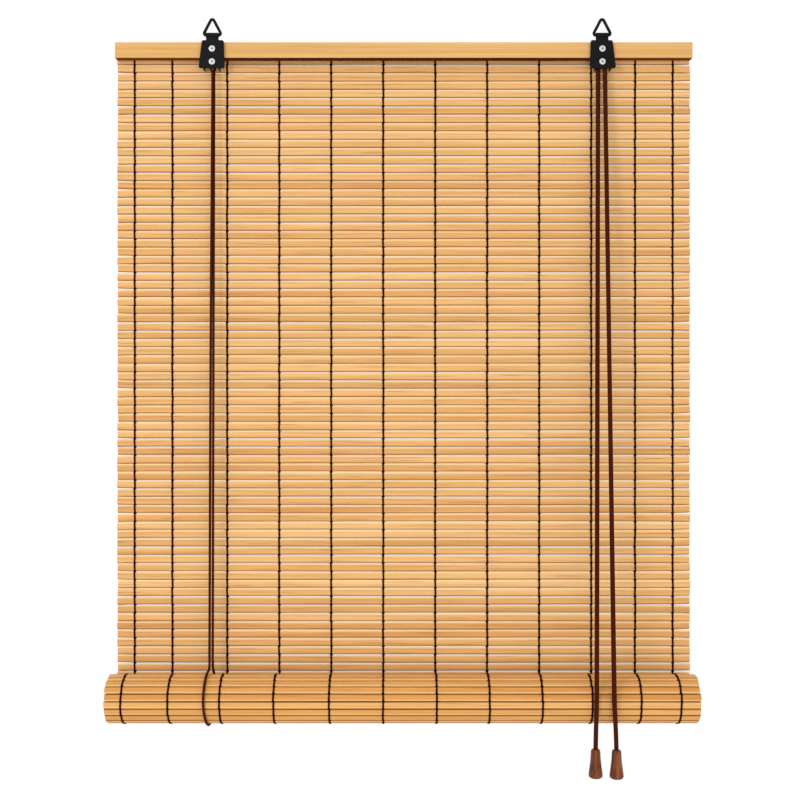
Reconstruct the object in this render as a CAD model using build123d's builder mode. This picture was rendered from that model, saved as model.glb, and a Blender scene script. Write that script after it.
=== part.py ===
from build123d import *

import os
from math import asin, atan2, cos, degrees, pi, radians, sin, sqrt, tan

# Bamboo roll up blind, millimetres.
# X runs along the head rail, -Y faces the room, +Z is up.
# The origin is the middle of the back batten's back face, which lies on the wall plane y = 0.

os.makedirs("parts", exist_ok=True)

# ---------------------------------------------------------------- driving dimensions
curtain_width = 600.0
slat_thickness = 2.0
slat_height = 7.65
slat_gap = 1.059
field_slats = 78          # slats hanging flat, from the head rail to the roll
held_slats = 5            # of these, the top ones that never reach the roll
top_slat_drop = 7.98      # from the rail's top edge down to the first slat's middle

rail_height = 16.4
rail_thickness = 9.0
rail_overhang = 0.5       # the head rail is this much longer than the slats, each end
rail_edge = 0.8
batten_thickness = 4.0
batten_inset = 0.5
nail_count = 7
nail_radius = 0.7
nail_head_radius = 1.7
nail_head_depth = 0.6
nail_end_margin = 24.0
nail_length = 11.0
tape_thickness = 0.2
tape_margin = 0.2         # bare wood at each long edge of the tape

warp_diameter = 0.9
warp_proud = 0.45         # how far a warp thread stands off a slat's face
warp_edge = 18.0          # outermost thread from the slat's end
warp_second = 57.5        # next thread from the slat's end
warp_pitch = 54.5
warp_shift = 5.75         # the inner threads sit off centre by this much
warp_top_gap = 0.1        # between the rail's tape and the first knots

roll_outer_radius = 25.2
roll_rise = 4.38          # the roll's axis stands this much above the flat curtain's end
roll_half_turns = 13
turn_gap = 0.55           # between two turns of the roll
roll_shift = -1.4
roll_warp_drift = (-1.9, 5.8, 0.6, 0.4, 2.1, 1.9, 1.7, 0.4, -0.8, -5.0, -1.8, -1.1)
roll_warp_reach = 150.0   # the angle that the threads go on by, in the second half turn
bottom_rail_overhang = 0.5

left_bracket_x = -199.0
right_bracket_x = 206.2
plate_thickness = 1.0
plate_height = 29.3
plate_rise = 1.3          # the plate's top edge above the rail's
plate_inner_top = 12.1
plate_inner_bottom = 12.9
plate_outer_top = 10.7
plate_outer_bottom = 14.3
plate_corner = 2.2
strap_width = 13.0
strap_sheet = 0.9
strap_slit = 0.1
strap_tail = 5.0          # strap's lower end below the screw's axis
screw_drop = 7.8          # from the rail's top edge
screw_radius = 1.5
screw_bite = 1.5          # the screw's tip stops this far short of the slats
head_radius = 3.4
head_height = 1.5
head_edge = 0.9
dimple_radius = 1.1
dimple_depth = 0.5

axle_below_rail = 4.8     # from the rail's lower edge to the pulleys' axle
axle_radius = 1.0
axle_end_radius = 1.7
axle_end_height = 0.25
frame_sheet = 0.9
frame_near = 6.3          # cheek's inner face on the blind's middle side
frame_far = 8.6           # cheek's inner face on the blind's outer side
frame_rail_gap = 0.3
frame_front_gap = 1.0     # between the frame's back and the slats' front faces
frame_foot = 0.7          # the cheeks end this much below the cover plate
frame_web_drop = 2.6      # the frame's web goes this far below the axle

pulley_width = 3.6
pulley_gap = 0.4
pulley_wall = 0.4
pulley_rim_radius = 4.1
running_clearance = 0.06
cord_clearance = 0.1

ring_wire = 3.1
ring_width = 20.0
ring_height = 19.4
ring_corner = 2.0
ring_rise = 6.8           # the ring's lower bar above the rail's top edge
ring_clearance = 0.1

lift_cord = 2.5
pull_cord = 4.4
cord_pair_gap = 0.15
cord_fold = 7.5           # a slack lift cord folds over the roll at this radius
loop_clearance = 0.3
left_loop_front = -2.7    # the loops at the roll's front and back, from the brackets' middles
left_loop_rear = -1.6
left_anchor = -1.6        # where the cord enters the batten
right_loop_front = 4.1
right_loop_rear = 13.9
right_anchor = 6.7
cord_anchor = 9.0         # a lift cord's end is glued this deep in the batten
leg_end_gap = 0.4         # a lift cord's hanging leg ends this far from its loop
leg_top_drop = 4.6        # cords' lower spans begin this far under the axle
pair_drop = 6.4           # below that, the left bracket's two cords come together
pair_x = 0.15             # the front one of the pair there, from the bracket's middle
pair_y = -1.3             # and from the front pulley
pair_step_x = 1.25        # the stay cord beside it
stay_foot = 1.3           # the stay cord's lower end, from the bracket's middle
leg_bow_x = -0.6          # the slack left leg's middle, off the straight line
leg_bow_y = -0.3
stay_bend_drop = 5.0
nip_clearance = 0.1       # between the stay cord's end and the flat curtain's threads
nip_roll_clearance = 0.82

pull_clearance = 0.4      # between a pull cord and what it hangs in front of
pull_bend_rise = 1.5      # the pull cord's bend over the roll, above the roll's axis
pull_tail_rise = 8.0      # its lower length begins this much above the bend
left_pull_set = -0.6      # the left pull cord's top, from the rear pulley
left_pull_offset = -12.7  # the left pull cord at the roll, from the right bracket's middle
left_tassel_offset = -13.9
right_pull_offset = 4.7
right_tassel_offset = 6.7

tassel_drop = 44.1        # from the roll's axis down to the tassels
tassel_length = 28.6
tassel_top_radius = 4.7
tassel_neck_radius = 5.3
tassel_bottom_radius = 7.1
tassel_shoulder = 2.2     # height of the rounded top
tassel_neck_rise = 4.0    # the neck's place above the middle
tassel_skirt = 4.0        # height of the rounded foot
tassel_rim = 2.6          # width of the rounded foot
tassel_bore_clearance = 0.3
tassel_pocket_depth = 9.0
knot_radius = 3.4
lift_travel = 600.0

# ---------------------------------------------------------------- worked out from them
rail_top = rail_height / 2
rail_bottom = -rail_height / 2
slat_back_y = -batten_thickness
slat_y = slat_back_y - slat_thickness / 2
slat_front_y = slat_back_y - slat_thickness
rail_front_y = slat_front_y - rail_thickness
plate_back_y = rail_front_y - 2 * strap_sheet
plate_front_y = plate_back_y - plate_thickness
plate_top = rail_top + plate_rise
plate_bottom = plate_top - plate_height
screw_z = rail_top - screw_drop
axle_z = rail_bottom - axle_below_rail
frame_back_y = slat_front_y - frame_front_gap
frame_front_y = frame_back_y - frame_sheet

slat_pitch = slat_height + slat_gap
first_slat_z = rail_top - top_slat_drop
slat_levels = [first_slat_z - n * slat_pitch for n in range(field_slats)]
held_bottom = slat_levels[held_slats - 1] - slat_height / 2 - slat_gap / 2
field_bottom = slat_levels[-1] - slat_height / 2

roll_start_z = field_bottom - slat_gap / 2
roll_z = roll_start_z + roll_rise
turn_step = slat_thickness + turn_gap
roll_sheet_radius = roll_outer_radius - slat_thickness / 2
roll_y = slat_y - roll_sheet_radius
core_radius = roll_sheet_radius - (roll_half_turns - 1) * turn_step / 2 - slat_thickness / 2
core_y = roll_y if roll_half_turns % 2 else roll_y - turn_step / 2

inner_threads = int((curtain_width - 2 * warp_second - warp_pitch / 2) / warp_pitch)
inner_warp = [warp_shift + (n - (inner_threads - 1) / 2) * warp_pitch for n in range(inner_threads)]
edge_warp = [curtain_width / 2 - warp_edge, curtain_width / 2 - warp_second]
warp_lines = [-edge_warp[0], -edge_warp[1], *inner_warp, edge_warp[1], edge_warp[0]]

groove_radius = axle_below_rail - frame_rail_gap - lift_cord - cord_clearance
cord_turn = groove_radius + cord_clearance + lift_cord / 2
rear_pulley_y = frame_front_y - pulley_gap - pulley_width / 2
front_pulley_y = rear_pulley_y - pulley_gap - pulley_width
leg_top_z = axle_z - leg_top_drop

ring_radius = ring_wire / 2
ring_bar_z = rail_top + ring_rise
ring_y = rail_front_y - strap_sheet
strap_hole = ring_radius + ring_clearance

loop_radius = roll_outer_radius + loop_clearance + lift_cord / 2
rear_cord_y = roll_y + loop_radius
fold_y = roll_y + cord_fold
fold_z = roll_z + loop_radius + cord_fold
leg_end_z = fold_z + leg_end_gap

# ---------------------------------------------------------------- small helpers


def make_slats(levels):
    """Flat bamboo slats, one solid each."""
    with BuildPart() as slats:
        with BuildSketch(Plane.YZ.offset(-curtain_width / 2)):
            with Locations(*[(slat_y, level) for level in levels]):
                Rectangle(slat_thickness, slat_height)
        extrude(amount=curtain_width)
    return slats


def make_warp(levels, top, bottom):
    """Warp threads: a front and a back strand, tied together in every gap between the slats."""
    with BuildPart() as thread:
        with BuildSketch(Plane.YZ.offset(-warp_diameter / 2)):
            with Locations((slat_y, (top + bottom) / 2)):
                Rectangle(slat_thickness + 2 * warp_proud, top - bottom)
            with Locations(*[(slat_y, level) for level in levels]):
                Rectangle(slat_thickness, slat_height, mode=Mode.SUBTRACT)
        extrude(amount=warp_diameter)
    with BuildPart() as warp:
        with Locations(*[(x, 0, 0) for x in warp_lines]):
            add(thread.part)
    return warp


def make_cord(points, radii, diameter):
    """A round cord along straight runs joined by tangent arcs.

    The radii are printed, with the solid's volume over its section times its length.
    """
    with BuildPart() as cord:
        with BuildLine() as route:
            if radii:
                FilletPolyline(*points, radius=radii)
            else:
                Line(*points)
        with BuildSketch(Plane(route.line @ 0, z_dir=route.line % 0)):
            Circle(diameter / 2)
        sweep(transition=Transition.ROUND)
    length = route.wire().length
    share = cord.part.volume / (pi * diameter**2 / 4 * length)
    print("radii", [round(r, 2) for r in radii], "length", round(length, 1), "volume share", round(share, 4))
    return cord


def turn(plane, centre, radius, start, sweep_angle):
    """An arc in a plane across the blind; angles run from the wall side upwards."""
    angles = [start, start + sweep_angle / 2, start + sweep_angle]
    return ThreePointArc(*[plane.from_local_coords(polar_point(centre, radius, angle)) for angle in angles])


def polar_point(centre, radius, angle):
    """The point at an angle on a circle, in a plane's own two coordinates."""
    return (centre[0] + radius * cos(radians(angle)), centre[1] + radius * sin(radians(angle)))


# ---------------------------------------------------------------- head rail, batten, nails
nail_x = [
    -curtain_width / 2 + nail_end_margin + n * (curtain_width - 2 * nail_end_margin) / (nail_count - 1)
    for n in range(nail_count)
]
nail_tip_y = -nail_length
screw_tip_y = slat_front_y - screw_bite
tassel_top_z = roll_z - tassel_drop

# The two cords behind the curtain, from the roll's back up into the batten's underside.
rear_lines = {
    "left": (
        (left_bracket_x + left_loop_rear, rear_cord_y, roll_z + leg_end_gap),
        (left_bracket_x + left_anchor, rear_cord_y, rail_bottom + cord_anchor),
    ),
    "right": (
        (right_bracket_x + right_loop_rear, rear_cord_y, roll_z + leg_end_gap),
        (right_bracket_x + right_anchor, rear_cord_y, rail_bottom + cord_anchor),
    ),
}

with BuildPart() as head_rail:
    with BuildSketch(Plane.YZ.offset(-curtain_width / 2 - rail_overhang)):
        with Locations(((slat_front_y + rail_front_y) / 2, 0)):
            Rectangle(rail_thickness, rail_height)
    extrude(amount=curtain_width + 2 * rail_overhang)
    fillet(head_rail.edges().filter_by(Axis.X).group_by(Axis.Y)[0], radius=rail_edge)
    with BuildSketch(Plane.XZ.offset(-rail_front_y)):
        with Locations((left_bracket_x, screw_z), (right_bracket_x, screw_z)):
            Circle(screw_radius)
    extrude(amount=-(screw_tip_y - rail_front_y), mode=Mode.SUBTRACT)
    with BuildSketch(Plane.XZ.offset(-slat_front_y)):
        with Locations(*[(x, first_slat_z) for x in nail_x]):
            Circle(nail_radius)
    extrude(amount=slat_front_y - nail_tip_y, mode=Mode.SUBTRACT)
head_rail.part.label = "head_rail"
export_step(head_rail.part, "parts/head_rail.step")

with BuildPart() as back_batten:
    with BuildSketch(Plane.YZ.offset(-curtain_width / 2 + batten_inset)):
        with Locations((-batten_thickness / 2, 0)):
            Rectangle(batten_thickness, rail_height)
    extrude(amount=curtain_width - 2 * batten_inset)
    with BuildSketch(Plane.XZ):
        with Locations(*[(x, first_slat_z) for x in nail_x]):
            Circle(nail_radius)
    extrude(amount=batten_thickness, mode=Mode.SUBTRACT)
    with BuildSketch(Plane.XZ):
        with Locations(*[(x, first_slat_z) for x in nail_x]):
            Circle(nail_head_radius)
    extrude(amount=nail_head_depth, mode=Mode.SUBTRACT)
    for low, high in rear_lines.values():
        with BuildSketch(Plane(high, z_dir=Vector(*high) - Vector(*low))):
            Circle(lift_cord / 2)
        extrude(amount=-2 * cord_anchor, mode=Mode.SUBTRACT)
back_batten.part.label = "back_batten"
export_step(back_batten.part, "parts/back_batten.step")

with BuildPart() as rail_nails:
    with BuildSketch(Plane.XZ):
        with Locations(*[(x, first_slat_z) for x in nail_x]):
            Circle(nail_radius)
    extrude(amount=nail_length)
    with BuildSketch(Plane.XZ):
        with Locations(*[(x, first_slat_z) for x in nail_x]):
            Circle(nail_head_radius)
    extrude(amount=nail_head_depth)
rail_nails.part.label = "rail_nails"
export_step(rail_nails.part, "parts/rail_nails.step")

# A dark tape covers the head rail's underside.
with BuildPart() as rail_tape:
    with BuildSketch(Plane.YZ.offset(-curtain_width / 2)):
        with Locations(((slat_front_y + rail_front_y) / 2, rail_bottom - tape_thickness / 2)):
            Rectangle(rail_thickness - 2 * tape_margin, tape_thickness)
    extrude(amount=curtain_width)
rail_tape.part.label = "rail_tape"
export_step(rail_tape.part, "parts/rail_tape.step")

# ---------------------------------------------------------------- hanging curtain
with BuildPart() as top_slats:
    add(make_slats(slat_levels[:held_slats]))
    with BuildSketch(Plane.XZ.offset(-slat_back_y)):
        with Locations(*[(x, first_slat_z) for x in nail_x]):
            Circle(nail_radius)
    extrude(amount=slat_thickness, mode=Mode.SUBTRACT)
top_slats.part.label = "top_slats"
export_step(top_slats.part, "parts/top_slats.step")

field = make_slats(slat_levels[held_slats:])
field.part.label = "field_slats"
export_step(field.part, "parts/field_slats.step")

warp_start = rail_bottom - tape_thickness - warp_top_gap
top_warp = make_warp(slat_levels[:held_slats], warp_start, held_bottom)
top_warp.part.label = "top_warp"
export_step(top_warp.part, "parts/top_warp.step")

field_warp = make_warp(slat_levels[held_slats:], held_bottom, field_bottom)
field_warp.part.label = "field_warp"
export_step(field_warp.part, "parts/field_warp.step")

# ---------------------------------------------------------------- rolled curtain
# The roll is one sheet wound from half circles about two centres: it leaves the flat
# curtain on the wall side, passes underneath and comes up on the room side.
roll_length = curtain_width
tail_angle = -degrees(asin((roll_z - roll_start_z) / roll_sheet_radius))
turn_centres = [(roll_y, roll_z), (roll_y - turn_step / 2, roll_z)]


def half_turns(offset):
    """Arcs of the wound sheet, moved outwards by an offset, from the curtain inwards."""
    arcs = []
    for n in range(roll_half_turns):
        radius = roll_sheet_radius - n * turn_step / 2 + offset
        start = 0 if n % 2 == 0 else 180
        first = tail_angle if n == 0 else 0
        arcs.append(CenterArc(turn_centres[n % 2], radius, start + first, -180 - first))
    return arcs


with BuildPart() as curtain_roll:
    with BuildSketch(Plane.YZ.offset(roll_shift - roll_length / 2)):
        with BuildLine() as sheet:
            outer = half_turns(slat_thickness / 2)
            inner = half_turns(-slat_thickness / 2)
            Line(outer[0] @ 0, inner[0] @ 0)
            Line(outer[-1] @ 1, inner[-1] @ 1)
        make_face()
    extrude(amount=roll_length)
curtain_roll.part.label = "curtain_roll"
export_step(curtain_roll.part, "parts/curtain_roll.step")

with BuildPart() as roll_warp:
    second_radius = roll_outer_radius - turn_step / 2
    for n, x in enumerate(warp_lines):
        thread_x = x + roll_shift + roll_warp_drift[n % len(roll_warp_drift)]
        with BuildSketch(Plane.YZ.offset(thread_x - warp_diameter / 2)):
            with BuildLine():
                low = CenterArc(turn_centres[0], roll_outer_radius, tail_angle, -180 - tail_angle)
                near = CenterArc(turn_centres[0], low.radius + warp_proud, tail_angle, -180 - tail_angle)
                high = CenterArc(turn_centres[1], second_radius, 180, -roll_warp_reach)
                far = CenterArc(turn_centres[1], second_radius + warp_proud, 180, -roll_warp_reach)
                Line(low @ 0, near @ 0)
                Line(high @ 1, far @ 1)
            make_face()
        extrude(amount=warp_diameter)
roll_warp.part.label = "roll_warp"
export_step(roll_warp.part, "parts/roll_warp.step")

with BuildPart() as bottom_rail:
    with BuildSketch(Plane.YZ.offset(roll_shift - roll_length / 2 - bottom_rail_overhang)):
        with Locations((core_y, roll_z)):
            Circle(core_radius)
    extrude(amount=roll_length + 2 * bottom_rail_overhang)
bottom_rail.part.label = "bottom_rail"
export_step(bottom_rail.part, "parts/bottom_rail.step")


# ---------------------------------------------------------------- brackets
def make_cover_plate(x, outward):
    """The black front plate: a tapered sheet with rounded corners.

    Args:
        x: the bracket's middle.
        outward: -1 on the left bracket, 1 on the right one, the side that flares.
    """
    with BuildPart() as plate:
        with BuildSketch(Plane.XZ.offset(-plate_back_y)):
            with BuildLine():
                Polyline(
                    (x + outward * plate_outer_top, plate_top),
                    (x + outward * plate_outer_bottom, plate_bottom),
                    (x - outward * plate_inner_bottom, plate_bottom),
                    (x - outward * plate_inner_top, plate_top),
                    close=True,
                )
            make_face()
        extrude(amount=plate_thickness)
        fillet(plate.edges().filter_by(Axis.Y), radius=plate_corner)
        fillet(plate.faces().sort_by(Axis.Y)[0].edges(), radius=plate_thickness / 3)
        with BuildSketch(Plane.XZ.offset(-plate_back_y)):
            with Locations((x, screw_z)):
                Circle(screw_radius)
            with Locations((x, axle_z)):
                Circle(axle_radius)
        extrude(amount=plate_thickness, mode=Mode.SUBTRACT)
    return plate


def make_frame(x, outward):
    """The folded frame behind the plate: a web with the axle's hole and two cheeks.

    Args:
        x: the bracket's middle.
        outward: -1 on the left bracket, 1 on the right one.
    """
    cheek_top = rail_bottom - frame_rail_gap - lift_cord - 2 * cord_clearance
    cheek_bottom = plate_bottom - frame_foot
    web_top = rail_bottom - frame_rail_gap
    web_bottom = axle_z - axle_radius - frame_web_drop
    near_x = x - outward * (frame_near + frame_sheet / 2)
    far_x = x + outward * (frame_far + frame_sheet / 2)
    depth = frame_back_y - plate_back_y
    with BuildPart() as frame:
        with BuildSketch(Plane.XZ.offset(-frame_back_y)):
            with Locations(((near_x + far_x) / 2, (web_top + web_bottom) / 2)):
                Rectangle(abs(far_x - near_x) + frame_sheet, web_top - web_bottom)
            with Locations((x, axle_z)):
                Circle(axle_radius, mode=Mode.SUBTRACT)
        extrude(amount=frame_sheet)
        for cheek_x in (near_x, far_x):
            with BuildSketch(Plane.YZ.offset(cheek_x - frame_sheet / 2)):
                with Locations((plate_back_y + depth / 2, (cheek_top + cheek_bottom) / 2)):
                    Rectangle(depth, cheek_top - cheek_bottom)
            extrude(amount=frame_sheet)
    return frame


def make_strap(x):
    """A strip folded over the ring's bar, its two legs flat together behind the plate."""
    strap_bottom = screw_z - strap_tail
    with BuildPart() as strap:
        with BuildSketch(Plane.YZ.offset(x - strap_width / 2)):
            with Locations((ring_y, ring_bar_z)):
                Circle(strap_hole + strap_sheet)
            with Locations((ring_y, (ring_bar_z + strap_bottom) / 2)):
                Rectangle(2 * strap_sheet, ring_bar_z - strap_bottom)
            with Locations((ring_y, (ring_bar_z + strap_bottom) / 2)):
                Rectangle(strap_slit, ring_bar_z - strap_bottom, mode=Mode.SUBTRACT)
            with Locations((ring_y, ring_bar_z)):
                Circle(strap_hole, mode=Mode.SUBTRACT)
        extrude(amount=strap_width)
        with BuildSketch(Plane.XZ.offset(-rail_front_y)):
            with Locations((x, screw_z)):
                Circle(screw_radius)
        extrude(amount=2 * strap_sheet, mode=Mode.SUBTRACT)
    return strap


def make_pin(x, z, radius, tip_y, end_radius, end_height):
    """A round pin with a domed head on the plate, and a riveted end if it has a radius."""
    with BuildPart() as pin:
        with BuildSketch(Plane.XZ.offset(-plate_front_y)):
            with Locations((x, z)):
                Circle(head_radius)
        extrude(amount=head_height)
        fillet(pin.faces().sort_by(Axis.Y)[0].edges(), radius=head_edge)
        with BuildSketch(Plane.XZ.offset(head_height - plate_front_y)):
            with Locations((x, z)):
                Circle(dimple_radius)
        extrude(amount=-dimple_depth, mode=Mode.SUBTRACT)
        with BuildSketch(Plane.XZ.offset(-tip_y)):
            with Locations((x, z)):
                Circle(radius)
        extrude(amount=tip_y - plate_front_y)
        if end_height:
            with BuildSketch(Plane.XZ.offset(-tip_y)):
                with Locations((x, z)):
                    Circle(end_radius)
            extrude(amount=-end_height)
    return pin


def make_pulley(x, y):
    """A grooved wheel that turns on the axle."""
    with BuildPart() as pulley:
        with BuildSketch(Plane.XZ.offset(-y - pulley_width / 2)):
            with Locations((x, axle_z)):
                Circle(pulley_rim_radius)
                Circle(axle_radius + running_clearance, mode=Mode.SUBTRACT)
        extrude(amount=pulley_width)
        with BuildSketch(Plane.XZ.offset(-y - pulley_width / 2 + pulley_wall)):
            with Locations((x, axle_z)):
                Circle(pulley_rim_radius)
                Circle(groove_radius, mode=Mode.SUBTRACT)
        extrude(amount=pulley_width - 2 * pulley_wall, mode=Mode.SUBTRACT)
    return pulley


def make_ring(x):
    """A triangular wire ring with its bar in the strap and its point upwards."""
    half_width = ring_width / 2 - ring_radius - ring_corner
    rise = ring_height - ring_wire - 2 * ring_corner
    lean = atan2(half_width, rise)
    corner = ring_corner * tan((pi / 2 + lean) / 2)
    top = ring_corner / sin(lean)
    low_z = ring_bar_z
    high_z = ring_bar_z + ring_corner + rise + top
    with BuildPart() as ring:
        with BuildLine(Plane.XZ.offset(-ring_y)) as wire:
            FilletPolyline(
                (x + half_width + corner, low_z),
                (x, high_z),
                (x - half_width - corner, low_z),
                radius=ring_corner,
                close=True,
            )
        with BuildSketch(Plane(wire.line @ 0, z_dir=wire.line % 0)):
            Circle(ring_radius)
        sweep()
    return ring


brackets = {"left": (left_bracket_x, -1), "right": (right_bracket_x, 1)}
for side, (middle, outward) in brackets.items():
    plate = make_cover_plate(middle, outward)
    plate.part.label = f"{side}_cover_plate"
    export_step(plate.part, f"parts/{side}_cover_plate.step")

    frame = make_frame(middle, outward)
    frame.part.label = f"{side}_pulley_frame"
    export_step(frame.part, f"parts/{side}_pulley_frame.step")

    strap = make_strap(middle)
    strap.part.label = f"{side}_ring_strap"
    export_step(strap.part, f"parts/{side}_ring_strap.step")

    screw = make_pin(middle, screw_z, screw_radius, screw_tip_y, 0, 0)
    screw.part.label = f"{side}_rail_screw"
    export_step(screw.part, f"parts/{side}_rail_screw.step")

    axle = make_pin(middle, axle_z, axle_radius, frame_back_y, axle_end_radius, axle_end_height)
    axle.part.label = f"{side}_pulley_axle"
    export_step(axle.part, f"parts/{side}_pulley_axle.step")

    ring = make_ring(middle)
    ring.part.label = f"{side}_hanging_ring"
    export_step(ring.part, f"parts/{side}_hanging_ring.step")

pulleys = {
    "left_pulley": (left_bracket_x, front_pulley_y),
    "right_front_pulley": (right_bracket_x, front_pulley_y),
    "right_rear_pulley": (right_bracket_x, rear_pulley_y),
}
for name, (x, y) in pulleys.items():
    pulley = make_pulley(x, y)
    pulley.part.label = name
    export_step(pulley.part, f"parts/{name}.step")

# ---------------------------------------------------------------- lift cords
left_cord_x = left_bracket_x - cord_turn
right_cord_x = right_bracket_x + cord_turn
over_z = axle_z + cord_turn
snug = 0.999              # a bend's share of the radius that would use its runs up

# Over the left pulley, along under the rail, and down the right bracket's front pulley.
cross_cord = make_cord(
    [
        (left_cord_x, front_pulley_y, leg_top_z),
        (left_cord_x, front_pulley_y, over_z),
        (right_cord_x, front_pulley_y, over_z),
        (right_cord_x, front_pulley_y, leg_top_z),
    ],
    [cord_turn, cord_turn],
    lift_cord,
)
cross_cord.part.label = "cross_cord"
export_step(cross_cord.part, "parts/cross_cord.step")

# Over the right bracket's rear pulley, from the lift cord to the left pull cord.
turn_cord = make_cord(
    [
        (right_cord_x, rear_pulley_y, leg_top_z),
        (right_cord_x, rear_pulley_y, over_z),
        (right_bracket_x - cord_turn, rear_pulley_y, over_z),
        (right_bracket_x - cord_turn, rear_pulley_y, leg_top_z),
    ],
    [cord_turn * snug, cord_turn * snug],
    lift_cord,
)
turn_cord.part.label = "right_turn_cord"
export_step(turn_cord.part, "parts/right_turn_cord.step")

# Under the left bracket the front cord and the stay cord come together, one half behind the other.
meet_z = leg_top_z - pair_drop
meet_x = left_bracket_x + pair_x
meet_y = front_pulley_y + pair_y
stay_meet_x = meet_x + pair_step_x
stay_meet_y = meet_y + sqrt((lift_cord + cord_pair_gap) ** 2 - pair_step_x**2)
left_lean = asin((left_loop_rear - left_loop_front) / (2 * loop_radius))
left_fold_x = left_bracket_x + (left_loop_front + left_loop_rear) / 2 + cord_fold * sin(left_lean)
left_leg = make_cord(
    [
        (left_cord_x, front_pulley_y, leg_top_z),
        (meet_x, meet_y, meet_z),
        ((meet_x + left_fold_x) / 2 + leg_bow_x, (meet_y + fold_y) / 2 + leg_bow_y, (meet_z + fold_z) / 2),
        (left_fold_x, fold_y, leg_end_z),
    ],
    [4 * lift_cord, 80 * lift_cord],
    lift_cord,
)
left_leg.part.label = "left_front_cord"
export_step(left_leg.part, "parts/left_front_cord.step")

stay_x = left_bracket_x + stay_foot
stay_loop = axle_radius + lift_cord / 2 + cord_clearance
stay_cord = make_cord(
    [
        (left_bracket_x - stay_loop, rear_pulley_y, axle_z),
        (left_bracket_x - stay_loop, rear_pulley_y, axle_z + stay_loop),
        (left_bracket_x + stay_loop, rear_pulley_y, axle_z + stay_loop),
        (left_bracket_x + stay_loop, rear_pulley_y, leg_top_z),
        (stay_meet_x, stay_meet_y, meet_z),
        (stay_x, fold_y, leg_end_z),
    ],
    [stay_loop * snug, stay_loop * snug, 3 * lift_cord, 4 * lift_cord],
    lift_cord,
)
stay_cord.part.label = "left_stay_cord"
export_step(stay_cord.part, "parts/left_stay_cord.step")

# The stay cord's end lies over the back of the roll, in the nip with the flat curtain.
nip_y = slat_front_y - warp_proud - nip_clearance - lift_cord / 2
nip_radius = roll_outer_radius + nip_roll_clearance + lift_cord / 2
nip_z = roll_z + sqrt(nip_radius**2 - (nip_y - roll_y) ** 2)
stay_tail = make_cord(
    [
        (stay_x, fold_y, fold_z),
        (stay_x, fold_y, fold_z - stay_bend_drop),
        (stay_x, nip_y, nip_z),
    ],
    [2 * lift_cord],
    lift_cord,
)
stay_tail.part.label = "left_stay_tail"
export_step(stay_tail.part, "parts/left_stay_tail.step")


def make_loop(front_x, rear_x, start, folded):
    """The part of a lift cord that lies round the roll and rises with it.

    Args:
        front_x: where the loop lies along the roll, on the room side.
        rear_x: where it lies on the wall side.
        start: angle at which the cord meets the roll, from the wall side upwards.
        folded: whether the cord folds over the roll's top from a slack upper leg.
    """
    lean = asin((rear_x - front_x) / (2 * loop_radius))
    middle = ((front_x + rear_x) / 2, roll_y, roll_z)
    plane = Plane(middle, x_dir=(sin(lean), cos(lean), 0), z_dir=(cos(lean), -sin(lean), 0))
    radius = loop_radius / cos(lean)
    with BuildPart() as loop:
        with BuildLine() as route:
            if folded:
                turn(plane, (0, radius + cord_fold), cord_fold, 0, -90)
            turn(plane, (0, 0), radius, start, 360 - start)
        with BuildSketch(Plane(route.line @ 0, z_dir=route.line % 0)):
            Circle(lift_cord / 2)
        sweep(transition=Transition.ROUND)
    length = route.wire().length
    share = loop.part.volume / (pi * lift_cord**2 / 4 * length)
    print("loop length", round(length, 1), "volume share", round(share, 4))
    return loop


# The right cord is taut: it meets the roll where a straight line from its pulley touches it.
reach_y = rear_pulley_y - roll_y
reach_z = leg_top_z - roll_z
touch_angle = 180 - degrees(atan2(reach_y, reach_z) + asin(loop_radius / sqrt(reach_y**2 + reach_z**2)))
touch_y, touch_z = polar_point((roll_y, roll_z), loop_radius, touch_angle)
touch_share = (touch_y - roll_y + loop_radius) / (2 * loop_radius)
touch_x = right_bracket_x + right_loop_front + touch_share * (right_loop_rear - right_loop_front)

right_leg = make_cord(
    [(right_cord_x, rear_pulley_y, leg_top_z), (touch_x, touch_y, touch_z + leg_end_gap)],
    [],
    lift_cord,
)
right_leg.part.label = "right_front_cord"
export_step(right_leg.part, "parts/right_front_cord.step")

left_loop = make_loop(left_bracket_x + left_loop_front, left_bracket_x + left_loop_rear, 90, True)
left_loop.part.label = "left_lift_loop"
export_step(left_loop.part, "parts/left_lift_loop.step")

right_loop_x = right_bracket_x + right_loop_front
right_loop = make_loop(right_loop_x, right_bracket_x + right_loop_rear, touch_angle, False)
right_loop.part.label = "right_lift_loop"
export_step(right_loop.part, "parts/right_lift_loop.step")

for side, line in rear_lines.items():
    rear = make_cord(line, [], lift_cord)
    rear.part.label = f"{side}_rear_cord"
    export_step(rear.part, f"parts/{side}_rear_cord.step")


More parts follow.
